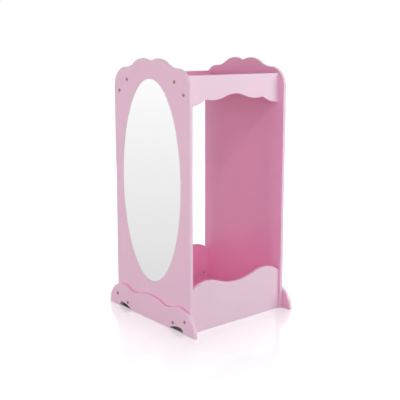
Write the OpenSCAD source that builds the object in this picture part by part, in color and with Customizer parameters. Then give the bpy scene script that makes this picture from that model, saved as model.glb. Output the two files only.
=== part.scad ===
// Child's dress-up unit: two scalloped side panels joined by valances, shelves and bin panels,
// with a hanging rod, an oval mirror on the left side and a wavy foot board under each side.
// X runs across the width, +Y to the back, +Z up, and the floor is z = 0 under the middle.

/* [Overall] */
// Width over the two side panels
unit_w = 520; // [480:1:600]
// Depth of the side panels, front to back
unit_d = 515; // [480:1:600]
// Height of the scallop lobes above the floor
unit_h = 1089; // [1060:1:1250]
// Thickness of every lacquered board
board_t = 15; // [14:0.5:18]
// Radius of the rounding on the long edges of the boards
edge_r = 3; // [1:0.5:4]

/* [Side panels] */
// Height of the lobes above the shoulders
scallop_rise = 36.5; // [30:0.5:44]
// Radius of the shoulder corners
shoulder_r = 85; // [60:1:95]
// Radius of the two scallop lobes
lobe_r = 112; // [100:1:130]
// Distance of each lobe's crown from the middle
lobe_y = 51; // [40:1:60]

/* [Mirror] */
// Width of the oval mirror
mirror_w = 396; // [300:1:410]
// Height of the oval mirror
mirror_h = 844; // [600:1:850]
// Height of the mirror's lowest point above the floor
mirror_base = 164.5; // [150:0.5:200]
// Thickness of the acrylic mirror
mirror_t = 3; // [2:0.5:3.5]
// Thickness of the adhesive pads behind it
pad_t = 1; // [0.8:0.1:1.5]
// Width of each adhesive pad
pad_w = 30; // [20:1:50]
// Distance between the adhesive pads, centre to centre
pad_pitch = 110; // [80:1:130]
// Distance of the adhesive pads from the mirror's edge
pad_margin = 20; // [10:1:24]
// Gap round the mirror in its recess
mirror_gap = 0.6; // [0.4:0.1:1]

/* [Valances] */
// Distance of the valances behind the side panels' edges
valance_recess = 31; // [20:1:45]
// Distance of the valances' top edges below the scallop lobes
valance_drop = 63; // [58:0.5:75]
// Height of the valances at their ends
valance_end_h = 120.5; // [112:0.5:140]
// Height of the valances at the middle
valance_mid_h = 77; // [68:0.5:84]
// Height of the valances at the two dips beside the middle arch
valance_dip_h = 99; // [94:0.5:103]
// Distance of the dips from the middle
valance_dip_x = 115; // [108:1:120]
// Radius of the middle arch
arch_r = 140; // [120:1:160]
// Radius of the small crests outside the dips
crest_r = 25; // [15:1:30]
// Radius of the sweep from each crest down to the end
sweep_r = 150; // [140:1:165]
// Length of the level stretch of the lower edge at each end
level_l = 5; // [1:1:10]

/* [Shelves] */
// Depth of the tray that the valances form above the top shelf
tray_depth = 18; // [12:0.5:24]
// Height of the space between the floor and the bottom shelf
plinth_h = 23; // [18:0.5:28]
// Distance of the shelf bolts from the middle
shelf_bolt_y = 161.5; // [140:0.5:175]

/* [Bin panels] */
// Distance of the bin panels behind the side panels' edges
bin_recess = 11; // [4:0.5:18]
// Height of the humps on the bin panels
bin_hump_h = 204; // [195:1:230]
// Height of the bin panels at the middle
bin_mid_h = 173; // [160:1:184]
// Radius of the humps
hump_r = 142; // [125:1:160]
// Distance of the humps from the panels' ends
hump_inset = 88; // [80:1:96]

/* [Foot boards] */
// Distance that the foot boards reach past the side panels at each end
toe_reach = 45; // [30:1:60]
// Height and radius of the round toes
toe_r = 105; // [98:1:115]
// Height of the middle hump
foot_mid_h = 106; // [98:1:112]
// Height of the valleys between the humps
foot_dip_h = 87; // [82:0.5:92]
// Distance of the valleys from the middle
foot_dip_y = 113; // [104:1:122]
// Height of the cut-outs under the foot boards and side panels
cut_h = 21; // [12:0.5:24]
// Distance of each cut-out's crown from the middle
cut_y = 206; // [198:1:212]
// Radius of the cut-outs on the toe side
cut_toe_r = 24; // [24:0.5:30]
// Radius of the cut-outs' long crowns
cut_crown_r = 150; // [120:1:170]
// Radius of the tails that run out to the floor
cut_tail_r = 60; // [40:1:80]

/* [Hanging rod] */
// Diameter of the wooden rod
rod_d = 25; // [20:0.5:30]
// Distance of the rod's axis below the top shelf's lower face
rod_drop = 52.5; // [40:0.5:60]
// Depth of the blind sockets in the side panels
socket_depth = 8; // [6:0.5:8.5]
// Gap round the rod in its sockets
rod_gap = 0.3; // [0.2:0.05:0.5]
// Gap between each end of the rod and the bottom of its socket
rod_end_gap = 0.5; // [0.3:0.1:0.8]

/* [Fasteners] */
// Diameter of the connector bolts
bolt_d = 6; // [5:0.5:7]
// Gap round the bolts in the boards
bolt_gap = 0.3; // [0.2:0.05:0.5]
// Gap round the bolts in the barrel nuts, in place of a thread
thread_gap = 0.1; // [0.05:0.05:0.2]
// Diameter of the bolt heads
head_d = 14; // [12:0.5:17]
// Thickness of the bolt heads
head_h = 2.2; // [1.8:0.1:3]
// Width across the flats of the hexagon socket
key_w = 4; // [3:0.5:4]
// Depth of the hexagon socket
key_depth = 2.6; // [2:0.1:4]
// Reach of the bolts past the barrel nuts
bolt_reach = 4; // [2:0.5:6]
// Diameter of the barrel nuts
nut_d = 10; // [9:0.5:11]
// Length of the barrel nuts
nut_l = 12; // [10:0.5:12]
// Gap round the barrel nuts
nut_gap = 0.2; // [0.1:0.05:0.4]
// Width and depth of the screwdriver slot in each barrel nut
nut_slot = 1.2; // [0.8:0.1:1.6]
// Distance of the barrel nuts from the boards' ends
nut_setback = 26; // [22:0.5:32]
// Height of the valance bolts above the valances' lower edge at the ends
valance_bolt_h = 47; // [44:0.5:60]
// Height of the bin bolts above the floor
bin_bolt_h = 53.5; // [48:0.5:60]
// Diameter of the wooden locating dowels
dowel_d = 8; // [6:0.5:8]
// Depth of a locating dowel in the side panel
dowel_seat = 9; // [7:0.5:10]
// Depth of a locating dowel in the board's end
dowel_reach = 21; // [16:0.5:25]
// Gap round the locating dowels and at their ends
dowel_gap = 0.1; // [0.05:0.05:0.2]
// Distance between a bolt and the locating dowel beside it
dowel_step = 32; // [24:1:34]

/* [Hidden] */

$fn = 64;
arc_step = 5.5;     // largest turn between two points of a rounded outline, in degrees
oval_points = 96;   // corners of the oval that stands for the mirror's ellipse
hump_end = 30;      // angle above level at which a bin hump's arc ends, past the panel's end
cut_margin = 1;     // how far a cutting tool passes the face that it cuts
tip_gap = 1;        // free bore past the tip of a bolt
end_chamfer = 1;    // chamfer on the ends of dowels, bolts and rod

lacquer = [0.86, 0.62, 0.73];
brass = [0.60, 0.53, 0.38];
zinc = [0.72, 0.73, 0.75];
beech = [0.86, 0.72, 0.52];
foam = [0.95, 0.95, 0.93];
silver = [0.93, 0.94, 0.95];

inner_w = unit_w - 2 * board_t;
shoulder_h = unit_h - scallop_rise;
valance_top = unit_h - valance_drop;
valance_low = valance_top - valance_end_h;
top_shelf_z = valance_top - tray_depth - board_t / 2;     // middle of the board
bottom_shelf_z = plinth_h + board_t / 2;                  // middle of the board
rod_z = top_shelf_z - board_t / 2 - rod_drop;
valance_y = unit_d / 2 - valance_recess - board_t / 2;    // middle of the board
bin_y = unit_d / 2 - bin_recess - board_t / 2;            // middle of the board
valance_bolt_z = valance_low + valance_bolt_h;
shelf_dowel_y = shelf_bolt_y - dowel_step;
foot_half = unit_d / 2 + toe_reach;
mirror_z = mirror_base + mirror_h / 2;
mirror_recess = mirror_t + pad_t;
nut_x = inner_w / 2 - nut_setback;
tip_x = nut_x - nut_d / 2 - bolt_reach;

// Places of the fasteners in a side panel, each as [distance from the middle, height]
valance_bolt = [valance_y, valance_bolt_z];
bin_bolt = [bin_y, bin_bolt_h];
top_shelf_bolt = [shelf_bolt_y, top_shelf_z];
bottom_shelf_bolt = [shelf_bolt_y, bottom_shelf_z];
valance_dowel = [for (i = [-1, 1]) valance_bolt + [0, i * dowel_step]];
bin_dowel = [for (i = [1, 3]) bin_bolt + [0, i * dowel_step]];
top_shelf_dowel = [[shelf_dowel_y, top_shelf_z]];
bottom_shelf_dowel = [[shelf_dowel_y, bottom_shelf_z]];

// Direction of the line from p to q, in degrees
function bearing(p, q) = atan2(q[1] - p[1], q[0] - p[0]);

// Points of an arc from angle a0 to angle a1, without the first one
function arc(c, r, a0, a1) =
    let (n = max(2, ceil(abs(a1 - a0) / arc_step)))
    [for (i = [1:n]) let (a = a0 + (a1 - a0) * i / n) c + r * [cos(a), sin(a)]];

// Radius of the circle that touches the circle (c, r) from outside and a level line at p,
// where it lies above that line for s = 1 and below it for s = -1
function touching_r(c, r, p, s) =
    let (dx = p[0] - c[0], dy = s * (p[1] - c[1]))
    (dx * dx + dy * dy - r * r) / (2 * (r - dy));

// Centre of the circle of radius r that touches the circles (c1, r1) and (c2, r2) from
// outside and lies to the right of the way from c1 to c2
function touching_c(c1, r1, c2, r2, r) =
    let (d = norm(c2 - c1), u = (c2 - c1) / d, a = r1 + r, b = r2 + r,
         x = (d * d + a * a - b * b) / (2 * d))
    c1 + x * u + sqrt(a * a - x * x) * [u[1], -u[0]];

// Whole outline from its right half, which runs anticlockwise from the middle to the middle
function whole(half) =
    concat(half, [for (i = [len(half) - 1:-1:0]) if (half[i][0] > 0.001) [-half[i][0], half[i][1]]]);

// Inward directions at the corners of an outline that runs anticlockwise, each of the length
// that puts the offset edges one unit inside the outline
function inward(p) =
    let (n = len(p))
    [for (i = [0:n - 1])
        let (a = p[i] - p[(i + n - 1) % n], b = p[(i + 1) % n] - p[i],
             na = [-a[1], a[0]] / norm(a), nb = [-b[1], b[0]] / norm(b))
        (na + nb) / (1 + na * nb)];

// Half outline of a side panel: shoulder, flank and scallop lobe, up to the notch
function side_half() =
    let (shoulder_c = [unit_d / 2 - shoulder_r, shoulder_h - shoulder_r],
         lobe_c = [lobe_y, unit_h - lobe_r],
         crown = [shoulder_c[0], shoulder_h],
         flank_r = touching_r(lobe_c, lobe_r, crown, 1),
         flank_c = crown + [0, flank_r])
    concat([[0, 0], [unit_d / 2, 0], [unit_d / 2, shoulder_c[1]]],
           arc(shoulder_c, shoulder_r, 0, 90),
           arc(flank_c, flank_r, -90, bearing(flank_c, lobe_c)),
           arc(lobe_c, lobe_r, bearing(lobe_c, flank_c), 90),
           arc(lobe_c, lobe_r, 90, 180 - acos(lobe_y / lobe_r)));

// Half outline of a valance: middle arch, dip, small crest and sweep down to the level end
function valance_half() =
    let (arch_c = [0, valance_top - valance_mid_h - arch_r],
         dip = [valance_dip_x, valance_top - valance_dip_h],
         dip_r = touching_r(arch_c, arch_r, dip, 1),
         dip_c = dip + [0, dip_r],
         sweep_c = [inner_w / 2 - level_l, valance_low + sweep_r],
         crest_c = touching_c(dip_c, dip_r, sweep_c, sweep_r, crest_r))
    concat([[0, valance_top - valance_mid_h]],
           arc(arch_c, arch_r, 90, bearing(arch_c, dip_c)),
           arc(dip_c, dip_r, bearing(dip_c, arch_c), bearing(dip_c, crest_c)),
           arc(crest_c, crest_r, bearing(crest_c, dip_c), bearing(crest_c, sweep_c)),
           arc(sweep_c, sweep_r, bearing(sweep_c, crest_c), -90),
           [[unit_w / 2, valance_low], [unit_w / 2, valance_top], [0, valance_top]]);

// Half outline of a bin panel: hump at the side, valley in the middle
function bin_half() =
    let (hump_c = [inner_w / 2 - hump_inset, bin_hump_h - hump_r],
         valley_r = touching_r(hump_c, hump_r, [0, bin_mid_h], 1),
         valley_c = [0, bin_mid_h + valley_r],
         hump_foot = hump_c + hump_r * [cos(hump_end), sin(hump_end)])
    concat([[0, 0], [hump_foot[0], 0], hump_foot],
           arc(hump_c, hump_r, hump_end, bearing(hump_c, valley_c)),
           arc(valley_c, valley_r, bearing(valley_c, hump_c), -90));

// Half outline of a foot board without its cut-out: round toe, valley and middle hump
function foot_half_outline() =
    let (toe_c = [foot_half - toe_r, 0],
         dip = [foot_dip_y, foot_dip_h],
         dip_r = touching_r(toe_c, toe_r, dip, 1),
         dip_c = dip + [0, dip_r],
         hump_r = touching_r(dip_c, dip_r, [0, foot_mid_h], -1),
         hump_c = [0, foot_mid_h - hump_r])
    concat([[0, 0], [foot_half, 0]],
           arc(toe_c, toe_r, 0, bearing(toe_c, dip_c)),
           arc(dip_c, dip_r, bearing(dip_c, toe_c), bearing(dip_c, hump_c)),
           arc(hump_c, hump_r, bearing(hump_c, dip_c), 90));

// Outline of the right cut-out, from its toe over the crown to the tail and below the floor
function cut_out_outline() =
    let (cut_toe_c = [cut_y, cut_h - cut_toe_r],
         crown_c = [cut_y, cut_h - cut_crown_r],
         reach = cut_crown_r + cut_tail_r,
         tail_c = [cut_y - sqrt(reach * reach - (reach - cut_h) * (reach - cut_h)), cut_tail_r],
         toe_a = asin((-cut_margin - cut_toe_c[1]) / cut_toe_r))
    concat([cut_toe_c + cut_toe_r * [cos(toe_a), sin(toe_a)]],
           arc(cut_toe_c, cut_toe_r, toe_a, 90),
           arc(crown_c, cut_crown_r, 90, bearing(crown_c, tail_c)),
           arc(tail_c, cut_tail_r, bearing(tail_c, crown_c), -90),
           [[tail_c[0], -cut_margin]]);

// Solid on the outline p with a ring of corners for each [inset, height], from low to high.
// Each of its two flat ends is made of the pieces in caps, whose first corner sees the others.
module ringed(p, rings, caps) {
    n = len(p);
    d = inward(p);
    polyhedron(
        points = [for (g = rings, i = [0:n - 1]) [p[i][0] + g[0] * d[i][0], p[i][1] + g[0] * d[i][1], g[1]]],
        faces = concat(caps,
                       [for (c = caps) [for (i = [0:len(c) - 1]) (len(rings) - 1) * n + c[(len(c) - i) % len(c)]]],
                       [for (g = [0:len(rings) - 2], i = [0:n - 1])
                           let (a = g * n, j = (i + 1) % n) [a + i, a + n + i, a + n + j, a + j]]),
        convexity = 6);
}

// Board level on z = 0 with all its edges rounded, from the right half of its outline. The
// corner of that half with the number hub sees all the others.
module board(half, hub = 0) {
    m = len(half);
    k = edge_r * (1 - sin(45));
    h = board_t / 2;
    ringed(whole(half),
           [[edge_r, -h], [k, k - h], [0, edge_r - h], [0, h - edge_r], [k, h - k], [edge_r, h]],
           [[for (i = [0:m - 1]) (hub + i) % m],
            [for (i = [0:m - 1]) (m - 1 + (m - 1 - hub + i) % m) % (2 * m - 2)]]);
}

// Cutting tool on the outline p that leaves rounded edges on a board level on z = 0
module board_cutter(p) {
    k = edge_r * (1 - sin(45));
    h = board_t / 2;
    ringed(p,
           [[-edge_r, -h - cut_margin], [-edge_r, -h], [-k, k - h], [0, edge_r - h],
            [0, h - edge_r], [-k, h - k], [-edge_r, h], [-edge_r, h + cut_margin]],
           [[for (i = [0:len(p) - 1]) i]]);
}

// Board that stands across the width at depth y, cut square between the side panels
module cross_board(half, y, hub = 0) {
    intersection() {
        translate([0, y, 0]) rotate([90, 0, 0]) board(half, hub);
        translate([-inner_w / 2, y - board_t, -cut_margin]) cube([inner_w, 2 * board_t, unit_h]);
    }
}

// Stands a board on edge along the depth, with its middle layer at x
module on_side(x) {
    translate([x, 0, 0]) rotate([90, 0, 90]) children();
}

module left_and_right() {
    children();
    mirror([1, 0, 0]) children();
}

module front_and_back() {
    children();
    mirror([0, 1, 0]) children();
}

// Cylinder along X from x0 to x1 at the place at = [y, z]
module x_rod(x0, x1, at, d) {
    translate([x0, at[0], at[1]]) rotate([0, 90, 0]) cylinder(h = x1 - x0, d = d);
}

// The same with a chamfer at both ends
module x_pin(x0, x1, at, d) {
    l = x1 - x0;
    r = d / 2;
    c = end_chamfer;
    translate([x0, at[0], at[1]]) rotate([0, 90, 0])
        rotate_extrude() polygon([[0, 0], [r - c, 0], [r, c], [r, l - c], [r - c, l], [0, l]]);
}

// Bores in the right end of a cross board or shelf: one for the bolt and one for each dowel
module end_bores(bolt, dowels) {
    x_rod(tip_x - tip_gap, inner_w / 2 + cut_margin, bolt, bolt_d + 2 * bolt_gap);
    for (at = dowels)
        x_rod(inner_w / 2 - dowel_reach - dowel_gap, inner_w / 2 + cut_margin, at, dowel_d + 2 * dowel_gap);
}

// Blind bore for a barrel nut, from the lower face of a level board that is centred on z = 0
module nut_bore() {
    translate([0, 0, -board_t / 2 - cut_margin])
        cylinder(h = cut_margin + board_t / 2 + nut_l / 2 + nut_gap, d = nut_d + 2 * nut_gap);
}

// Barrel nut centred on the origin: cross bore along X, screwdriver slot in the lower end
module barrel_nut() {
    difference() {
        translate([0, 0, -nut_l / 2]) cylinder(h = nut_l, d = nut_d);
        x_rod(-nut_d, nut_d, [0, 0], bolt_d + 2 * thread_gap);
        translate([-nut_d, -nut_slot / 2, -nut_l / 2 - cut_margin])
            cube([2 * nut_d, nut_slot, cut_margin + nut_slot]);
    }
}

// Turns what points down to point at the middle of the unit, for the boards at the back
module facing_middle() {
    rotate([-90, 0, 0]) children();
}

// Connector bolt on the right side: its domed head with a hexagon socket sits on the face at x
module bolt(x, at) {
    rim = head_h / 2;
    dome_r = head_h - rim;
    difference() {
        union() {
            translate([x, at[0], at[1]]) rotate([0, 90, 0])
                rotate_extrude() polygon(concat([[0, 0], [head_d / 2, 0]],
                    [for (a = [0:30:90]) [head_d / 2 - dome_r * (1 - cos(a)), rim + dome_r * sin(a)]],
                    [[0, head_h]]));
            x_pin(tip_x, x + head_h / 2, at, bolt_d);
        }
        translate([x + head_h - key_depth, at[0], at[1]]) rotate([0, 90, 0])
            cylinder(h = key_depth + cut_margin, d = key_w / cos(30), $fn = 6);
    }
}

// Right side panel with its cut-outs, bolt holes, dowel seats and rod socket
module side_panel() {
    x = (unit_w - board_t) / 2;
    difference() {
        on_side(x) board(side_half());
        front_and_back() {
            on_side(x) board_cutter(cut_out_outline());
            for (at = [valance_bolt, top_shelf_bolt, bin_bolt, bottom_shelf_bolt])
                x_rod(inner_w / 2 - cut_margin, unit_w / 2 + cut_margin, at, bolt_d + 2 * bolt_gap);
            for (at = concat(valance_dowel, bin_dowel, top_shelf_dowel, bottom_shelf_dowel))
                x_rod(inner_w / 2 - cut_margin, inner_w / 2 + dowel_seat + dowel_gap, at, dowel_d + 2 * dowel_gap);
        }
        x_rod(inner_w / 2 - cut_margin, inner_w / 2 + socket_depth, [0, rod_z], rod_d + 2 * rod_gap);
    }
}

// Upright oval plate of thickness t whose left face lies at x, grown by grow all round
module oval_plate(x, t, grow = 0) {
    translate([x, 0, mirror_z]) rotate([90, 0, 90]) linear_extrude(t)
        polygon([for (i = [0:oval_points - 1]) let (a = 360 * i / oval_points)
            [(mirror_w / 2 + grow) * cos(a), (mirror_h / 2 + grow) * sin(a)]]);
}

module right_side_panel() {
    color(lacquer) side_panel();
}

module left_side_panel() {
    color(lacquer) difference() {
        mirror([1, 0, 0]) side_panel();
        oval_plate(-unit_w / 2 - cut_margin, mirror_recess + cut_margin, mirror_gap);
    }
}

// Back valance, bored from its hidden inner face for the barrel nuts
module valance() {
    difference() {
        cross_board(valance_half(), valance_y, len(valance_half()) - 2);
        left_and_right() {
            end_bores(valance_bolt, valance_dowel);
            translate([nut_x, valance_y, valance_bolt_z]) facing_middle() nut_bore();
        }
    }
}

module back_valance() {
    color(lacquer) valance();
}

module front_valance() {
    color(lacquer) mirror([0, 1, 0]) valance();
}

// Level board between the side panels, reaching to y = half_d at the front and back
module shelf(half_d, z, dowels) {
    difference() {
        translate([-inner_w / 2, -half_d, z - board_t / 2]) cube([inner_w, 2 * half_d, board_t]);
        left_and_right() front_and_back() {
            end_bores([shelf_bolt_y, z], dowels);
            translate([nut_x, shelf_bolt_y, z]) nut_bore();
        }
    }
}

module top_shelf() {
    color(lacquer) shelf(valance_y - board_t / 2, top_shelf_z, top_shelf_dowel);
}

module bottom_shelf() {
    color(lacquer) shelf(bin_y - board_t / 2, bottom_shelf_z, bottom_shelf_dowel);
}

// Back bin panel, bored from its inner face for the barrel nuts
module bin_panel() {
    difference() {
        cross_board(bin_half(), bin_y);
        left_and_right() {
            end_bores(bin_bolt, bin_dowel);
            translate([nut_x, bin_y, bin_bolt_h]) facing_middle() nut_bore();
        }
    }
}

module back_bin_panel() {
    color(lacquer) bin_panel();
}

module front_bin_panel() {
    color(lacquer) mirror([0, 1, 0]) bin_panel();
}

// Right foot board on the outer face of its side panel, with the same cut-outs
module foot_board() {
    x = (unit_w + board_t) / 2;
    difference() {
        on_side(x) board(foot_half_outline());
        front_and_back() {
            on_side(x) board_cutter(cut_out_outline());
            for (at = [bin_bolt, bottom_shelf_bolt])
                x_rod(unit_w / 2 - cut_margin, unit_w / 2 + board_t + cut_margin, at, bolt_d + 2 * bolt_gap);
        }
    }
}

module right_foot_board() {
    color(lacquer) foot_board();
}

module left_foot_board() {
    color(lacquer) mirror([1, 0, 0]) foot_board();
}

// Oval acrylic mirror, flush with the outer face of the left side panel
module oval_mirror() {
    color(silver) oval_plate(-unit_w / 2, mirror_t);
}

// Foam strips that hold the mirror in its recess, each ended inside a smaller oval
module mirror_pads() {
    half_w = mirror_w / 2 - pad_margin;
    half_h = mirror_h / 2 - pad_margin;
    color(foam) for (i = [-1:1]) {
        edge = (abs(i) * pad_pitch + pad_w / 2) / half_w;
        l = 2 * half_h * sqrt(1 - edge * edge);
        translate([-unit_w / 2 + mirror_t, i * pad_pitch - pad_w / 2, mirror_z - l / 2])
            cube([pad_t, pad_w, l]);
    }
}

// Wooden rod that lies loose in the sockets of the two side panels
module hanging_rod() {
    half_l = inner_w / 2 + socket_depth - rod_end_gap;
    color(beech) x_pin(-half_l, half_l, [0, rod_z], rod_d);
}

// The bolts of one height on the right side, with their heads on the face at x
module bolts(x, places) {
    front_and_back() for (at = places) bolt(x, at);
}

module right_upper_bolts() {
    color(brass) bolts(unit_w / 2, [valance_bolt, top_shelf_bolt]);
}

module left_upper_bolts() {
    color(brass) mirror([1, 0, 0]) bolts(unit_w / 2, [valance_bolt, top_shelf_bolt]);
}

module right_lower_bolts() {
    color(brass) bolts(unit_w / 2 + board_t, [bin_bolt, bottom_shelf_bolt]);
}

module left_lower_bolts() {
    color(brass) mirror([1, 0, 0]) bolts(unit_w / 2 + board_t, [bin_bolt, bottom_shelf_bolt]);
}

// Barrel nuts of the two boards that stand at depth y, with their slots to the middle
module standing_nuts(y, z) {
    color(zinc) left_and_right() front_and_back()
        translate([nut_x, y, z]) facing_middle() barrel_nut();
}

// Barrel nuts of a shelf, with their slots in its lower face
module shelf_nuts(z) {
    color(zinc) left_and_right() front_and_back() translate([nut_x, shelf_bolt_y, z]) barrel_nut();
}

module valance_barrel_nuts() {
    standing_nuts(valance_y, valance_bolt_z);
}

module bin_barrel_nuts() {
    standing_nuts(bin_y, bin_bolt_h);
}

module top_shelf_barrel_nuts() {
    shelf_nuts(top_shelf_z);
}

module bottom_shelf_barrel_nuts() {
    shelf_nuts(bottom_shelf_z);
}

// Wooden dowels that locate a board's ends on the side panels
module dowels(places) {
    color(beech) left_and_right() front_and_back()
        for (at = places) x_pin(inner_w / 2 - dowel_reach, inner_w / 2 + dowel_seat, at, dowel_d);
}

module valance_dowels() {
    dowels(valance_dowel);
}

module bin_dowels() {
    dowels(bin_dowel);
}

module top_shelf_dowels() {
    dowels(top_shelf_dowel);
}

module bottom_shelf_dowels() {
    dowels(bottom_shelf_dowel);
}

left_side_panel();
right_side_panel();
front_valance();
back_valance();
top_shelf();
bottom_shelf();
front_bin_panel();
back_bin_panel();
left_foot_board();
right_foot_board();
oval_mirror();
mirror_pads();
hanging_rod();
left_upper_bolts();
right_upper_bolts();
left_lower_bolts();
right_lower_bolts();
valance_barrel_nuts();
top_shelf_barrel_nuts();
bottom_shelf_barrel_nuts();
bin_barrel_nuts();
valance_dowels();
top_shelf_dowels();
bottom_shelf_dowels();
bin_dowels();
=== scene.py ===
from math import acos, asin, atan2, ceil, cos, degrees, hypot, log, pi, radians, sin, sqrt

import bpy
from mathutils import Matrix, Vector


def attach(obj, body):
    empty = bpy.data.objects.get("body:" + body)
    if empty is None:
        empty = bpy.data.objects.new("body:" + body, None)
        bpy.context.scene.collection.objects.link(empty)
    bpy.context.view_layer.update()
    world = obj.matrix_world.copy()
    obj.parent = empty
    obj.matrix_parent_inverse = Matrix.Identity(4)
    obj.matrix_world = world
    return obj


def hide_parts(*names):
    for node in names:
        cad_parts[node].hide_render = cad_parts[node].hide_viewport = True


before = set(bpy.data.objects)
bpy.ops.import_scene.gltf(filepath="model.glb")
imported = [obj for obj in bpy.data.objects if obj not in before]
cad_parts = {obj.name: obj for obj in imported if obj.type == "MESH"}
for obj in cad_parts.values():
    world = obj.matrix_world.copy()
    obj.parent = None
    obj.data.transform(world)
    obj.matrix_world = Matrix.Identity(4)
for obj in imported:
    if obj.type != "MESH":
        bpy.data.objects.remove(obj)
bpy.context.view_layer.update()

mm = 0.001
tiny = 1e-6   # metres: two places closer than this are the same


def deselectAll():
    if bpy.context.object and bpy.context.object.mode != "OBJECT":
        bpy.ops.object.mode_set(mode="OBJECT")
    bpy.ops.object.select_all(action="DESELECT")


def activate(piece):
    deselectAll()
    piece.select_set(True)
    bpy.context.view_layer.objects.active = piece


def roundEdges(piece, test, radius, segments):
    # rounds the edges whose two ends pass the test. The first call of all still runs in vertex mode and takes
    # every edge, which folds the left side panel's rim: a known fault
    bpy.ops.object.mode_set(mode="OBJECT")
    for lot in (piece.data.vertices, piece.data.edges, piece.data.polygons):
        for item in lot:
            item.select = False
    for edge in piece.data.edges:
        edge.select = test(*[piece.data.vertices[index].co for index in edge.vertices])
    bpy.ops.object.mode_set(mode="EDIT")
    bpy.ops.mesh.select_mode(type="EDGE")
    bpy.ops.mesh.bevel(offset=radius * mm, offset_type="OFFSET", segments=segments, profile=0.5,
                       affect="EDGES", clamp_overlap=False)
    bpy.ops.object.mode_set(mode="OBJECT")


def thicken(height):
    # pulls the active flat piece up into a closed body
    bpy.ops.object.mode_set(mode="EDIT")
    bpy.ops.mesh.select_all(action="SELECT")
    bpy.ops.mesh.extrude_region_move(TRANSFORM_OT_translate={"value": (0, 0, height)})
    bpy.ops.mesh.select_all(action="SELECT")
    bpy.ops.mesh.normals_make_consistent(inside=False)
    bpy.ops.object.mode_set(mode="OBJECT")


def place(piece, location, turn=(0, 0, 0)):
    activate(piece)
    piece.location = location
    piece.rotation_euler = [radians(angle) for angle in turn]
    bpy.ops.object.transform_apply(location=True, rotation=True, scale=True)


def cutAway(piece, cutter):
    activate(piece)
    cut = piece.modifiers.new("cut", "BOOLEAN")
    cut.operation = "DIFFERENCE"
    cut.solver = "EXACT"
    cut.object = cutter
    bpy.ops.object.modifier_apply(modifier="cut")
    bpy.data.objects.remove(cutter)


def cylinderBetween(start, end, radius, sides=48):
    # a plain round body that cuts bores, or starts a rod or bolt, with all its sizes in millimetres
    start, end = (Vector([along * mm for along in point]) for point in (start, end))
    deselectAll()
    bpy.ops.mesh.primitive_cylinder_add(vertices=sides, radius=radius * mm, depth=(end - start).length)
    body = bpy.context.object
    turn = (end - start).to_track_quat("Z", "Y").to_euler()
    place(body, (start + end) / 2, [degrees(angle) for angle in turn])
    return body


def boreHole(piece, start, end, radius):
    cutAway(piece, cylinderBetween(start, end, radius))


def smooth(piece, angle=32):
    # rounded edges shade as curves while the broad faces stay flat
    activate(piece)
    bpy.ops.object.shade_smooth_by_angle(angle=radians(angle))
    even = piece.modifiers.new("even", "WEIGHTED_NORMAL")
    even.keep_sharp = True
    even.weight = 80
    bpy.ops.object.modifier_apply(modifier="even")


def joined(pieces):
    deselectAll()
    for piece in pieces:
        piece.select_set(True)
    bpy.context.view_layer.objects.active = pieces[0]
    bpy.ops.object.join()
    return bpy.context.object


def finished(piece, name, material, node, body="unit"):
    piece.name = piece.data.name = name
    piece.data.materials.clear()
    piece.data.materials.append(material)
    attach(piece, body)
    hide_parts(node)
    return piece


def toLinear(hexColour):
    parts = [int(hexColour[start:start + 2], 16) / 255 for start in (0, 2, 4)]
    return tuple(part / 12.92 if part <= 0.04045 else ((part + 0.055) / 1.055) ** 2.4 for part in parts) + (1,)


white = toLinear("ffffff")


def addNode(tree, kind, settings={}, links={}):
    # settings are attributes or socket values; links are socket: (node, output). Sockets 6 and 7 of a colour
    # mix are its two colours
    made = tree.nodes.new(kind)
    for key, value in settings.items():
        if isinstance(key, int) or key in made.inputs:
            made.inputs[key].default_value = value
        else:
            setattr(made, key, value)
    for key, (source, output) in links.items():
        tree.links.new(source.outputs[output], made.inputs[key])
    return made


def newMaterial(name):
    material = bpy.data.materials.new(name)
    material.use_nodes = True
    tree = material.node_tree
    tree.nodes.clear()
    return material, tree, addNode(tree, "ShaderNodeTexCoord")


# Polyurethane lacquer sprayed on MDF: an even pink with a soft gloss and a faint orange peel. The unit is one
# pink, its own tone on the sides' and feet's outer faces; a paler copy paints light on the valances, bin
# panels and rims, and a deeper copy paints shade on the faces towards the unit's middle, the shelves and the
# feet's top rims.
lacquer = {"side": ("f4cadf", "f1c4da"), "front": ("f2d5e5", "efd0e1"), "inner": ("ffbddd", "fcb8da"),
           "roughness": 0.32, "coat": 0.3, "coatRoughness": 0.12,
           "peelSize": 5 * mm, "peelDepth": 0.012, "cloudSize": 160 * mm,
           "broadFace": 0.7, "topRim": 0.85}   # the least share of a face's normal along that axis


def makeLacquer(name, tones):
    material, tree, coords = newMaterial(name)
    clouds = addNode(tree, "ShaderNodeTexNoise", {"Scale": 1 / lacquer["cloudSize"], "Detail": 2.0},
                     {"Vector": (coords, "Object")})
    colour = addNode(tree, "ShaderNodeMix",
                     {"data_type": "RGBA", 6: toLinear(tones[0]), 7: toLinear(tones[1])},
                     {"Factor": (clouds, "Fac")})
    peel = addNode(tree, "ShaderNodeTexNoise", {"Scale": 1 / lacquer["peelSize"], "Detail": 1.0},
                   {"Vector": (coords, "Object")})
    bump = addNode(tree, "ShaderNodeBump", {"Strength": lacquer["peelDepth"], "Distance": 1 * mm},
                   {"Height": (peel, "Fac")})
    shader = addNode(tree, "ShaderNodeBsdfPrincipled",
                     {"Roughness": lacquer["roughness"], "IOR": 1.5, "Coat Weight": lacquer["coat"],
                      "Coat Roughness": lacquer["coatRoughness"]},
                     {"Base Color": (colour, 2), "Normal": (bump, "Normal"), "Coat Normal": (bump, "Normal")})
    addNode(tree, "ShaderNodeOutputMaterial", {}, {"Surface": (shader, 0)})
    return material


sideLacquer = makeLacquer("pinkLacquer", lacquer["side"])
# a paler copy that paints light, and a deeper one that paints shade
paintedLightLacquer = makeLacquer("paintedLightPinkLacquer", lacquer["front"])
paintedShadeLacquer = makeLacquer("paintedShadePinkLacquer", lacquer["inner"])


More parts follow.
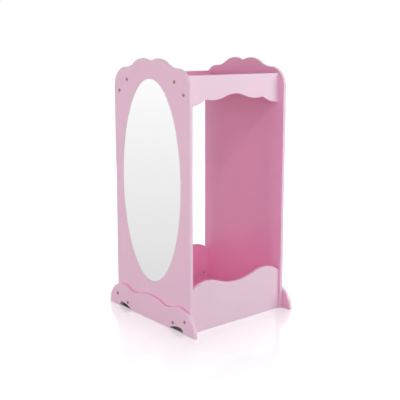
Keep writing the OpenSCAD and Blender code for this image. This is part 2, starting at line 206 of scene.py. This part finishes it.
def paintLightAndShade(piece, axis, topRimShaded=False):
    # the outer broad face keeps the piece's own tone; the inner one takes the deeper copy, painted shade, and
    # the rims the paler copy, painted light
    piece.data.materials.append(paintedShadeLacquer)
    piece.data.materials.append(paintedLightLacquer)
    # the last two indices are the copies that paint shade and light; when asked, upward top rims take painted
    # shade too
    own, shadedCopy, pale = range(3)
    for face in piece.data.polygons:
        outwards = face.normal[axis] * (1 if face.center[axis] > 0 else -1)
        if topRimShaded and face.normal.z > lacquer["topRim"]:
            face.material_index = shadedCopy
        elif outwards > lacquer["broadFace"]:
            face.material_index = own
        elif outwards < -lacquer["broadFace"]:
            face.material_index = shadedCopy
        else:
            face.material_index = pale


# Silvered acrylic: a clean cold reflection with hardly any haze, and very shallow waves
silver = {"tone": "fdfdfd", "roughness": 0.015, "waveSize": 1 / 3, "waveDepth": 0.01}   # waveSize in metres


def makeMirrorSilver():
    material, tree, coords = newMaterial("silveredAcrylic")
    ripple = addNode(tree, "ShaderNodeTexNoise", {"Scale": 1 / silver["waveSize"], "Detail": 0.0},
                     {"Vector": (coords, "Object")})
    bump = addNode(tree, "ShaderNodeBump", {"Strength": silver["waveDepth"], "Distance": 1 * mm},
                   {"Height": (ripple, "Fac")})
    shader = addNode(tree, "ShaderNodeBsdfPrincipled",
                     {"Base Color": toLinear(silver["tone"]), "Metallic": 1.0,
                      "Roughness": silver["roughness"]},
                     {"Normal": (bump, "Normal")})
    addNode(tree, "ShaderNodeOutputMaterial", {}, {"Surface": (shader, 0)})
    return material


mirrorSilver = makeMirrorSilver()


# Plated steel, dulled: the plating's tone drifts a little and the gloss is broken up by fine scuffs
plating = {"driftSize": 6 * mm, "scuffSize": 0.8 * mm, "smoother": 0.08, "rougher": 0.12}


def makePlating(name, bright, dark, roughness):
    material, tree, coords = newMaterial(name)
    drift = addNode(tree, "ShaderNodeTexNoise", {"Scale": 1 / plating["driftSize"], "Detail": 3.0},
                    {"Vector": (coords, "Object")})
    colour = addNode(tree, "ShaderNodeMix", {"data_type": "RGBA", 6: toLinear(bright), 7: toLinear(dark)},
                     {"Factor": (drift, "Fac")})
    scuff = addNode(tree, "ShaderNodeTexNoise", {"Scale": 1 / plating["scuffSize"], "Detail": 4.0},
                    {"Vector": (coords, "Object")})
    gloss = addNode(tree, "ShaderNodeMapRange",
                    {"To Min": roughness - plating["smoother"], "To Max": roughness + plating["rougher"]},
                    {"Value": (scuff, "Fac")})
    shader = addNode(tree, "ShaderNodeBsdfPrincipled", {"Metallic": 1.0},
                     {"Base Color": (colour, 2), "Roughness": (gloss, "Result")})
    addNode(tree, "ShaderNodeOutputMaterial", {}, {"Surface": (shader, 0)})
    return material


boltPlating = makePlating("antiqueBrassPlating", "b39d92", "84706a", 0.30)
zincPlating = makePlating("zincPlating", "a9acaf", "85898d", 0.32)


# Sanded beech: pale straight grain along X, with short darker flecks
wood = {"dark": "c69a66", "pale": "e2c193", "fleck": "a87a48", "grainSize": 2.2 * mm, "grainDepth": 0.4 * mm,
        "fleckSize": 1.6 * mm, "grainAlong": 0.06, "fleckAlong": 0.25, "darkAt": 0.30, "paleAt": 0.62}


def makeBeech():
    material, tree, coords = newMaterial("sandedBeech")
    along = addNode(tree, "ShaderNodeMapping", {"Scale": (wood["grainAlong"], 1, 1)},
                    {"Vector": (coords, "Object")})
    grain = addNode(tree, "ShaderNodeTexNoise",
                    {"Scale": 1 / wood["grainSize"], "Detail": 4.0, "Distortion": 0.3},
                    {"Vector": (along, "Vector")})
    tone = addNode(tree, "ShaderNodeValToRGB", {}, {"Fac": (grain, "Fac")})
    for stop, word in zip(tone.color_ramp.elements, ("dark", "pale")):
        stop.position = wood[word + "At"]
        stop.color = toLinear(wood[word])
    short = addNode(tree, "ShaderNodeMapping", {"Scale": (wood["fleckAlong"], 1, 1)},
                    {"Vector": (coords, "Object")})
    fleck = addNode(tree, "ShaderNodeTexVoronoi", {"Scale": 1 / wood["fleckSize"]},
                    {"Vector": (short, "Vector")})
    edge = addNode(tree, "ShaderNodeMapRange",
                   {"From Min": 0.0, "From Max": 0.25, "To Min": 0.35, "To Max": 0.0},
                   {"Value": (fleck, "Distance")})
    colour = addNode(tree, "ShaderNodeMix", {"data_type": "RGBA", 7: toLinear(wood["fleck"])},
                     {"Factor": (edge, "Result"), 6: (tone, "Color")})
    bump = addNode(tree, "ShaderNodeBump", {"Strength": 0.12, "Distance": wood["grainDepth"]},
                   {"Height": (grain, "Fac")})
    shader = addNode(tree, "ShaderNodeBsdfPrincipled", {"Roughness": 0.55, "IOR": 1.5},
                     {"Base Color": (colour, 2), "Normal": (bump, "Normal")})
    addNode(tree, "ShaderNodeOutputMaterial", {}, {"Surface": (shader, 0)})
    return material


beech = makeBeech()


# Closed-cell polyethylene foam: matt white with fine cells
padding = {"tone": "ecebe4", "cellSize": 0.8 * mm, "cellDepth": 0.3 * mm}


def makeFoam():
    material, tree, coords = newMaterial("adhesiveFoam")
    cells = addNode(tree, "ShaderNodeTexVoronoi", {"Scale": 1 / padding["cellSize"]},
                    {"Vector": (coords, "Object")})
    bump = addNode(tree, "ShaderNodeBump", {"Strength": 0.3, "Distance": padding["cellDepth"]},
                   {"Height": (cells, "Distance")})
    shader = addNode(tree, "ShaderNodeBsdfPrincipled",
                     {"Base Color": toLinear(padding["tone"]), "Roughness": 0.9},
                     {"Normal": (bump, "Normal")})
    addNode(tree, "ShaderNodeOutputMaterial", {}, {"Surface": (shader, 0)})
    return material


foam = makeFoam()
print("materials made")


# the sizes of the pieces are in millimetres, and angles are in degrees
def arc(centre, radius, start, end, step=3.0):
    # points of an arc between two angles, without the first one
    count = max(2, ceil(abs(end - start) / step))
    angles = [radians(start + (end - start) * index / count) for index in range(1, count + 1)]
    return [(centre[0] + radius * cos(angle), centre[1] + radius * sin(angle)) for angle in angles]


def bearing(p, q):
    return degrees(atan2(q[1] - p[1], q[0] - p[0]))


def touchingRadius(centre, radius, p, side):
    # of the circle that touches the given one from outside and a level line at p
    across, up = p[0] - centre[0], side * (p[1] - centre[1])
    return (across * across + up * up - radius * radius) / (2 * (radius - up))


def whole(half):
    # the right half of an outline, and its mirror image without the points on the middle line
    return half + [(-x, y) for x, y in reversed(half) if x > 0.001]


sheet = {"thickness": 15, "edgeRadius": 3, "edgeFlats": 4}   # every board is cut from it
sidePanel = {"x": 252.5, "halfDepth": 257.5, "height": 1089, "shoulderHeight": 1052.5, "shoulderRadius": 85,
             "lobeRadius": 112, "lobeOffset": 51}
valance = {"y": 219, "top": 1026, "low": 905.5, "archCrown": 949, "archRadius": 140, "dip": (115, 927),
           "crestRadius": 25, "sweepRadius": 150, "level": 5, "halfWidth": 245}
binPanel = {"y": 239, "humpX": 157, "humpHeight": 204, "humpRadius": 142, "middle": 173}
footBoard = {"x": 267.5, "halfDepth": 302.5, "toeRadius": 105, "dip": (113, 87), "hump": 106,
             "cutHeight": 21, "cutY": 206, "cutToeRadius": 24, "cutCrownRadius": 150, "cutTailRadius": 60}


def cutOut(sizes):
    # the right half's opening under the foot, from its tail to the toe
    cutToe = (sizes["cutY"], sizes["cutHeight"] - sizes["cutToeRadius"])
    crown = (sizes["cutY"], sizes["cutHeight"] - sizes["cutCrownRadius"])
    reach = sizes["cutCrownRadius"] + sizes["cutTailRadius"]
    tail = (sizes["cutY"] - sqrt(reach ** 2 - (reach - sizes["cutHeight"]) ** 2), sizes["cutTailRadius"])
    cutEnd = degrees(asin(1 - sizes["cutHeight"] / sizes["cutToeRadius"]))
    return ([(tail[0], 0)]
            + arc(tail, sizes["cutTailRadius"], -90, bearing(tail, crown), 5)
            + arc(crown, sizes["cutCrownRadius"], bearing(crown, tail), 90)
            + arc(cutToe, sizes["cutToeRadius"], 90, cutEnd, 10.5))


def sideOutline(sizes):
    shoulder = (sizes["halfDepth"] - sizes["shoulderRadius"],
                sizes["shoulderHeight"] - sizes["shoulderRadius"])
    lobe = (sizes["lobeOffset"], sizes["height"] - sizes["lobeRadius"])
    crown = (shoulder[0], sizes["shoulderHeight"])
    flankRadius = touchingRadius(lobe, sizes["lobeRadius"], crown, 1)
    flank = (crown[0], crown[1] + flankRadius)
    notch = 180 - degrees(acos(sizes["lobeOffset"] / sizes["lobeRadius"]))
    return whole(cutOut(footBoard) + [(sizes["halfDepth"], 0), (sizes["halfDepth"], shoulder[1])]
                 + arc(shoulder, sizes["shoulderRadius"], 0, 90)
                 + arc(flank, flankRadius, -90, bearing(flank, lobe))
                 + arc(lobe, sizes["lobeRadius"], bearing(lobe, flank), 90)
                 + arc(lobe, sizes["lobeRadius"], 90, notch))


def valanceOutline(sizes):
    arch = (0, sizes["archCrown"] - sizes["archRadius"])
    dipRadius = touchingRadius(arch, sizes["archRadius"], sizes["dip"], 1)
    dip = (sizes["dip"][0], sizes["dip"][1] + dipRadius)
    sweep = (sizes["halfWidth"] - sizes["level"], sizes["low"] + sizes["sweepRadius"])
    # the crest touches the circles on both its sides
    toDip, toSweep = dipRadius + sizes["crestRadius"], sizes["sweepRadius"] + sizes["crestRadius"]
    gap = hypot(sweep[0] - dip[0], sweep[1] - dip[1])
    way = ((sweep[0] - dip[0]) / gap, (sweep[1] - dip[1]) / gap)
    along = (gap * gap + toDip * toDip - toSweep * toSweep) / (2 * gap)
    aside = sqrt(toDip * toDip - along * along)
    crest = (dip[0] + along * way[0] + aside * way[1], dip[1] + along * way[1] - aside * way[0])
    return whole([(0, sizes["archCrown"])]
                 + arc(arch, sizes["archRadius"], 90, bearing(arch, dip))
                 + arc(dip, dipRadius, bearing(dip, arch), bearing(dip, crest))
                 + arc(crest, sizes["crestRadius"], bearing(crest, dip), bearing(crest, sweep), 6)
                 + arc(sweep, sizes["sweepRadius"], bearing(sweep, crest), -90)
                 + [(sizes["halfWidth"], sizes["low"]), (sizes["halfWidth"], sizes["top"])])


def binOutline(sizes, halfWidth):
    hump = (sizes["humpX"], sizes["humpHeight"] - sizes["humpRadius"])
    valleyRadius = touchingRadius(hump, sizes["humpRadius"], (0, sizes["middle"]), 1)
    valley = (0, sizes["middle"] + valleyRadius)
    end = degrees(acos((halfWidth - hump[0]) / sizes["humpRadius"]))
    edge = (halfWidth, hump[1] + sizes["humpRadius"] * sin(radians(end)))
    return whole([(halfWidth, 0), edge]
                 + arc(hump, sizes["humpRadius"], end, 90)
                 + arc(hump, sizes["humpRadius"], 90, bearing(hump, valley))
                 + arc(valley, valleyRadius, bearing(valley, hump), -90))


def footOutline(sizes):
    toe = (sizes["halfDepth"] - sizes["toeRadius"], 0)
    dipRadius = touchingRadius(toe, sizes["toeRadius"], sizes["dip"], 1)
    dip = (sizes["dip"][0], sizes["dip"][1] + dipRadius)
    humpRadius = touchingRadius(dip, dipRadius, (0, sizes["hump"]), -1)
    hump = (0, sizes["hump"] - humpRadius)
    return whole(cutOut(sizes) + [(sizes["halfDepth"], 0)]
                 + arc(toe, sizes["toeRadius"], 0, bearing(toe, dip))
                 + arc(dip, dipRadius, bearing(dip, toe), bearing(dip, hump))
                 + arc(hump, humpRadius, bearing(hump, dip), 90))


def board(outline, roundedAt=lambda middle: True):
    # drawn flat as one face, given its thickness, and its edges rounded over where the router ran
    deselectAll()
    bpy.ops.mesh.primitive_circle_add(vertices=len(outline), radius=1, fill_type="NGON")
    piece = bpy.context.object
    half = sheet["thickness"] / 2 * mm
    for vertex, (across, up) in zip(piece.data.vertices, outline):
        vertex.co = (across * mm, up * mm, -half)
    thicken(2 * half)
    roundEdges(piece, lambda p, q: abs(p.z - q.z) < tiny and roundedAt((p + q) / 2),
               sheet["edgeRadius"], sheet["edgeFlats"])
    return piece


def standAcross(piece, x, z=0):
    place(piece, (x * mm, 0, z * mm), (90, 0, 90))   # in the plane of Y and Z


def standAlong(piece, y):
    place(piece, (0, y * mm, 0), (90, 0, 0))         # in the plane of X and Z


rod = {"z": 940.5, "radius": 12.5, "halfLength": 252.5, "socketRadius": 12.8, "socketX": 253, "cutFrom": 240,
       "chamfer": 1}
# its outer face is flush with the panel's; cutSpare is how far the recess's cutter stands out of that
mirror = {"faceX": -260, "halfWidth": 198, "halfHeight": 422, "z": 586.5, "thickness": 3, "polish": 0.7,
          "gap": 0.6, "recess": 4, "cutSpare": 2}


def ovalPlate(grow, thickness):
    # a disc stretched to the mirror's oval
    deselectAll()
    bpy.ops.mesh.primitive_circle_add(vertices=192, radius=1, fill_type="NGON")
    piece = bpy.context.object
    bpy.ops.object.mode_set(mode="EDIT")
    bpy.ops.mesh.select_all(action="SELECT")
    bpy.ops.transform.resize(value=((mirror["halfWidth"] + grow) * mm, (mirror["halfHeight"] + grow) * mm, 1))
    thicken(thickness * mm)
    return piece


for side, word in ((-1, "left"), (1, "right")):
    panel = board(sideOutline(sidePanel))
    standAcross(panel, side * sidePanel["x"])
    boreHole(panel, (side * rod["cutFrom"], 0, rod["z"]), (side * rod["socketX"], 0, rod["z"]),
             rod["socketRadius"])
    if side < 0:
        recess = ovalPlate(mirror["gap"], mirror["recess"] + mirror["cutSpare"])
        standAcross(recess, mirror["faceX"] - mirror["cutSpare"], mirror["z"])
        cutAway(panel, recess)
    smooth(panel)
    finished(panel, word + "SidePanel", sideLacquer, word + "_side_panel")
    paintLightAndShade(panel, 0)

    foot = board(footOutline(footBoard))
    standAcross(foot, side * footBoard["x"])
    smooth(foot)
    finished(foot, word + "FootBoard", sideLacquer, word + "_foot_board")
    # the feet's top rims take painted shade
    paintLightAndShade(foot, 0, True)
print("side panels and foot boards made")

# y and z of the bolts and barrel nuts in each kind of board; cutFrom is how far before the board's middle
# a nut's bore is cut
screwed = {"valance": (valance["y"], 952.5), "topShelf": (161.5, 1000.5),
           "bin": (binPanel["y"], 53.5), "bottomShelf": (161.5, 30.5)}
nutBore = {"x": 219, "radius": 5.2, "depth": 6.2, "cutFrom": 12}


def insideEnds(middle):
    # the ends that meet the side panels stay square
    return abs(middle.x) < (valance["halfWidth"] - 0.01) * mm


def longBoard(outline, spot, side, name, node):
    y, z = spot
    piece = board(outline, insideEnds)
    standAlong(piece, side * y)
    for end in (-1, 1):
        boreHole(piece, (end * nutBore["x"], side * (y - nutBore["cutFrom"]), z),
                 (end * nutBore["x"], side * (y + nutBore["depth"]), z), nutBore["radius"])
    smooth(piece)
    # valances and bin panels take the paler copy, which paints light on them
    finished(piece, name, paintedLightLacquer, node)
    paintLightAndShade(piece, 1)


for side, word in ((-1, "front"), (1, "back")):
    longBoard(valanceOutline(valance), screwed["valance"], side, word + "Valance", word + "_valance")
    longBoard(binOutline(binPanel, valance["halfWidth"]), screwed["bin"], side,
              word + "BinPanel", word + "_bin_panel")
print("valances and bin panels made")

# the shelves take the deeper copy, which paints shade on them
for node in ("top_shelf", "bottom_shelf"):
    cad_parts[node].data.materials[0] = paintedShadeLacquer


glass = ovalPlate(0, mirror["thickness"])
roundEdges(glass, lambda p, q: max(p.z, q.z) < tiny, mirror["polish"], 2)
standAcross(glass, mirror["faceX"], mirror["z"])
smooth(glass, 20)
finished(glass, "ovalMirror", mirrorSilver, "oval_mirror")
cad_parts["mirror_pads"].data.materials[0] = foam
print("mirror made")


bar = cylinderBetween((-rod["halfLength"], 0, rod["z"]), (rod["halfLength"], 0, rod["z"]), rod["radius"], 64)
# this takes the long edges as well as the rims, which folds the rod's side: a known fault
roundEdges(bar, lambda p, q: all(abs(abs(end.x) - rod["halfLength"] * mm) < tiny for end in (p, q)),
           rod["chamfer"], 2)
smooth(bar, 40)
finished(bar, "hangingRod", beech, "hanging_rod", "rod")
for node in ("valance_dowels", "top_shelf_dowels", "bottom_shelf_dowels", "bin_dowels"):
    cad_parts[node].data.materials[0] = beech
print("rod made")


bolt = {"headRadius": 7, "headHeight": 2.2, "crown": 1.7, "keyAcross": 4, "keyDepth": 2.6,
        "shaftRadius": 3, "shaftInHead": 0.5, "tipX": 210, "sideFaceX": 260, "footFaceX": 275}


def makeBolt(faceX):
    # on the right side at y 0, z 0: a low domed head with a hexagon socket, and its shaft
    top = faceX + bolt["headHeight"]
    head = cylinderBetween((faceX, 0, 0), (top, 0, 0), bolt["headRadius"])
    roundEdges(head, lambda p, q: min(p.x, q.x) > (faceX + 1) * mm, bolt["crown"], 4)
    shaft = cylinderBetween((bolt["tipX"], 0, 0), (faceX + bolt["shaftInHead"], 0, 0), bolt["shaftRadius"], 32)
    both = joined([head, shaft])
    key = cylinderBetween((top - bolt["keyDepth"], 0, 0), (top + 1, 0, 0),
                          bolt["keyAcross"] / 2 / cos(radians(30)), 6)
    cutAway(both, key)
    return both


def copies(piece, places):
    # one copy of the piece for each matrix, as one mesh
    made = []
    for matrix in places:
        activate(piece)
        bpy.ops.object.duplicate(linked=False)
        made.append(bpy.context.object)
        made[-1].matrix_world = matrix
        bpy.ops.object.transform_apply(location=True, rotation=True, scale=True)
    bpy.data.objects.remove(piece)
    return joined(made)


for word, faceX, boards in (("Upper", bolt["sideFaceX"], ("valance", "topShelf")),
                            ("Lower", bolt["footFaceX"], ("bin", "bottomShelf"))):
    for side, sideWord in ((-1, "left"), (1, "right")):
        turn = Matrix.Rotation(pi if side < 0 else 0, 4, "Z")
        row = copies(makeBolt(faceX), [Matrix.Translation((0, front * y * mm, z * mm)) @ turn
                                       for y, z in [screwed[kind] for kind in boards]
                                       for front in (-1, 1)])
        smooth(row, 35)
        finished(row, sideWord + word + "Bolts", boltPlating,
                 sideWord + "_" + word.lower() + "_bolts")

nut = {"radius": 5, "length": 12, "boreRadius": 3.1, "boreReach": 8, "slot": 1.2, "slotReach": 14, "edge": 0.3}


def makeNut():
    # upright at the origin, cross bore along X, screwdriver slot in the lower end
    half = nut["length"] / 2
    body = cylinderBetween((0, 0, -half), (0, 0, half), nut["radius"])
    roundEdges(body, lambda p, q: abs(p.z - q.z) < tiny, nut["edge"], 2)
    boreHole(body, (-nut["boreReach"], 0, 0), (nut["boreReach"], 0, 0), nut["boreRadius"])
    deselectAll()
    bpy.ops.mesh.primitive_cube_add(size=1)
    slotCut = bpy.context.object
    slotCut.scale = (nut["slotReach"] * mm, nut["slot"] * mm, 2 * nut["slot"] * mm)
    place(slotCut, (0, 0, -half * mm))
    cutAway(body, slotCut)
    return body


def nutPlaces(y, z, turned):
    # near both ends of two boards: standing nuts open downwards, turned ones towards the unit's middle
    spots = []
    for end in (-1, 1):
        for front in (-1, 1):
            turn = Matrix.Rotation(-front * pi / 2, 4, "X") if turned else Matrix.Identity(4)
            spots.append(Matrix.Translation((end * nutBore["x"] * mm, front * y * mm, z * mm)) @ turn)
    return spots


for node, kind, turned in (("valance_barrel_nuts", "valance", True), ("bin_barrel_nuts", "bin", True),
                           ("top_shelf_barrel_nuts", "topShelf", False),
                           ("bottom_shelf_barrel_nuts", "bottomShelf", False)):
    nuts = copies(makeNut(), nutPlaces(*screwed[kind], turned))
    smooth(nuts, 35)
    words = node.split("_")
    finished(nuts, words[0] + "".join(part.capitalize() for part in words[1:]), zincPlating, node)
print("fasteners made")


# in metres; the lifts are the light that is added at two distances from the unit's middle, and the box under
# the unit with its dark tone paints a shadow there
studio = {"floorSize": 40, "floorTone": "b8b5b9", "liftSeen": ((0.9, 0.75), (2.5, 1.05)),
          "liftMirrored": ((0.9, 0.755), (15, 0.98)), "paintedShadowBox": (0.262, 0.2385, 0),
          "paintedShadowTone": "6a5c64", "softEdge": 8 * mm, "footprint": (0.275, 0.3025, 0), "floorIor": 1.6,
          "glossRoughness": 0.06, "glossGain": 2.3, "glossReach": 0.3, "skyForLight": 0.10, "aim": (0, 0, 0.5),
          # place, size and power
          "lamps": {"key": ((-1.5, -3.5, 1.5), 1.8, 27), "high": ((-2.4, -2.4, 3.1), 0.6, 18),
                    "front": ((3.0, -3.0, 1.3), 2.2, 54), "middle": ((1.2, -3.6, 1.2), 2.0, 35),
                    "left": ((-3.5, 0, 0.45), 1.7, 62), "right": ((3.4, 0.4, 1.6), 2.4, 37),
                    "back": ((0.5, 3.6, 1.8), 3.4, 80), "top": ((1.3, 1.0, 3.2), 1.6, 20)}}


def makeFloorMaterial():
    # a pale polished sheet: its shadows and a clear reflection round the feet are kept, and light is added
    # for the camera until it is white
    material, tree, coords = newMaterial("polishedSheet")

    def outside(box):
        # distance to a rectangle round the middle of the floor
        aside = addNode(tree, "ShaderNodeVectorMath", {"operation": "ABSOLUTE"}, {0: (coords, "Object")})
        over = addNode(tree, "ShaderNodeVectorMath", {"operation": "SUBTRACT", 1: box}, {0: (aside, 0)})
        gap = addNode(tree, "ShaderNodeVectorMath", {"operation": "MAXIMUM", 1: (0, 0, 0)}, {0: (over, 0)})
        return addNode(tree, "ShaderNodeVectorMath", {"operation": "LENGTH"}, {0: (gap, 0)})

    path = addNode(tree, "ShaderNodeLightPath")
    away = addNode(tree, "ShaderNodeVectorMath", {"operation": "LENGTH"}, {0: (coords, "Object")})
    farness = addNode(tree, "ShaderNodeMath", {"operation": "LOGARITHM", 1: 2.0}, {0: (away, "Value")})
    seen, mirrored = [addNode(tree, "ShaderNodeMapRange",
                              {"From Min": log(near, 2), "To Min": nearLight,
                               "From Max": log(far, 2), "To Max": farLight}, {"Value": (farness, 0)})
                      for (near, nearLight), (far, farLight) in (studio["liftSeen"], studio["liftMirrored"])]

    # a painted shadow: under the unit, where the feet's cut-outs look through, the sheet turns to a dark tone
    # and gets no added light
    edge = addNode(tree, "ShaderNodeMath", {"operation": "MULTIPLY", 1: 1 / studio["softEdge"]},
                   {0: (outside(studio["paintedShadowBox"]), "Value")})
    clear = addNode(tree, "ShaderNodeMath", {"operation": "MINIMUM", 1: 1.0}, {0: (edge, 0)})
    through = addNode(tree, "ShaderNodeMath", {"operation": "MAXIMUM"},
                      {0: (path, "Is Camera Ray"), 1: (path, "Is Transmission Ray")})
    added = addNode(tree, "ShaderNodeMath", {"operation": "MULTIPLY"}, {0: (seen, "Result"), 1: (clear, 0)})
    lift = addNode(tree, "ShaderNodeMath", {"operation": "MULTIPLY"}, {0: (added, 0), 1: (through, 0)})
    tone = addNode(tree, "ShaderNodeMix", {"data_type": "RGBA", 6: toLinear(studio["paintedShadowTone"]),
                                           7: toLinear(studio["floorTone"])}, {"Factor": (clear, 0)})
    sheetShader = addNode(tree, "ShaderNodeBsdfDiffuse", {}, {"Color": (tone, 2)})
    glow = addNode(tree, "ShaderNodeEmission", {"Color": white}, {"Strength": (lift, 0)})
    pale = addNode(tree, "ShaderNodeAddShader", {}, {0: (sheetShader, 0), 1: (glow, 0)})

    # its polish, which fades away from the feet
    gloss = addNode(tree, "ShaderNodeBsdfGlossy", {"Color": white, "Roughness": studio["glossRoughness"]})
    rim = addNode(tree, "ShaderNodeFresnel", {"IOR": studio["floorIor"]})
    reach = addNode(tree, "ShaderNodeMath", {"operation": "DIVIDE", 1: -studio["glossReach"]},
                    {0: (outside(studio["footprint"]), "Value")})
    fade = addNode(tree, "ShaderNodeMath", {"operation": "EXPONENT"}, {0: (reach, 0)})
    faded = addNode(tree, "ShaderNodeMath", {"operation": "MULTIPLY"}, {0: (rim, 0), 1: (fade, 0)})
    amount = addNode(tree, "ShaderNodeMath", {"operation": "MULTIPLY", 1: studio["glossGain"]},
                     {0: (faded, 0)})
    shown = addNode(tree, "ShaderNodeMath", {"operation": "MULTIPLY"},
                    {0: (amount, 0), 1: (path, "Is Camera Ray")})
    polished = addNode(tree, "ShaderNodeMixShader", {}, {"Fac": (shown, 0), 1: (pale, 0), 2: (gloss, 0)})

    # what the unit's own gloss and mirror show of it
    even = addNode(tree, "ShaderNodeEmission", {"Color": white}, {"Strength": (mirrored, "Result")})
    surface = addNode(tree, "ShaderNodeMixShader", {},
                      {"Fac": (path, "Is Glossy Ray"), 1: (polished, 0), 2: (even, 0)})
    addNode(tree, "ShaderNodeOutputMaterial", {}, {"Surface": (surface, 0)})
    return material


deselectAll()
bpy.ops.mesh.primitive_plane_add(size=studio["floorSize"])
floor = bpy.context.object
floor.name = "floor"
floor.data.materials.append(makeFloorMaterial())

# a white backdrop for the camera and the gloss, and a weak sky for light
world = bpy.data.worlds.new("studio")
bpy.context.scene.world = world
world.use_nodes = True
sky = world.node_tree
sky.nodes.clear()
rays = addNode(sky, "ShaderNodeLightPath")
shown = addNode(sky, "ShaderNodeMath", {"operation": "MAXIMUM"},
                {0: (rays, "Is Camera Ray"), 1: (rays, "Is Glossy Ray")})
shownToo = addNode(sky, "ShaderNodeMath", {"operation": "MAXIMUM"},
                   {0: (shown, 0), 1: (rays, "Is Transmission Ray")})
level = addNode(sky, "ShaderNodeMapRange", {"To Min": studio["skyForLight"], "To Max": 1.0},
                {"Value": (shownToo, 0)})
backdrop = addNode(sky, "ShaderNodeBackground", {"Color": white}, {"Strength": (level, "Result")})
addNode(sky, "ShaderNodeOutputWorld", {}, {"Surface": (backdrop, 0)})

for word, (spot, size, power) in studio["lamps"].items():
    deselectAll()
    bpy.ops.object.light_add(type="AREA", location=spot)
    lamp = bpy.context.object
    lamp.name = word + "Lamp"
    lamp.data.energy = power
    lamp.data.size = size
    lamp.rotation_euler = (Vector(studio["aim"]) - lamp.location).to_track_quat("-Z", "Y").to_euler()
    # the other lamps are large, and from some sides they would clip the lacquer's gloss to white
    lamp.visible_glossy = word == "high"

# fitted to the photo: place in metres, angles in degrees, focal length and picture width in pixels
view = {"place": (-2.0575, -2.4875, 1.1361), "turn": 39.631, "down": 10.015, "focal": 757.05,
        "pictureWidth": 400, "sensor": 36, "shiftUp": -0.05}
deselectAll()
bpy.ops.object.camera_add(location=view["place"],
                          rotation=(radians(90 - view["down"]), 0, radians(-view["turn"])))
camera = bpy.context.object
camera.data.sensor_width = view["sensor"]
camera.data.lens = view["focal"] / view["pictureWidth"] * view["sensor"]
camera.data.shift_y = view["shiftUp"]
bpy.context.scene.camera = camera
bpy.context.scene.view_settings.view_transform = "Standard"
print("stage set")
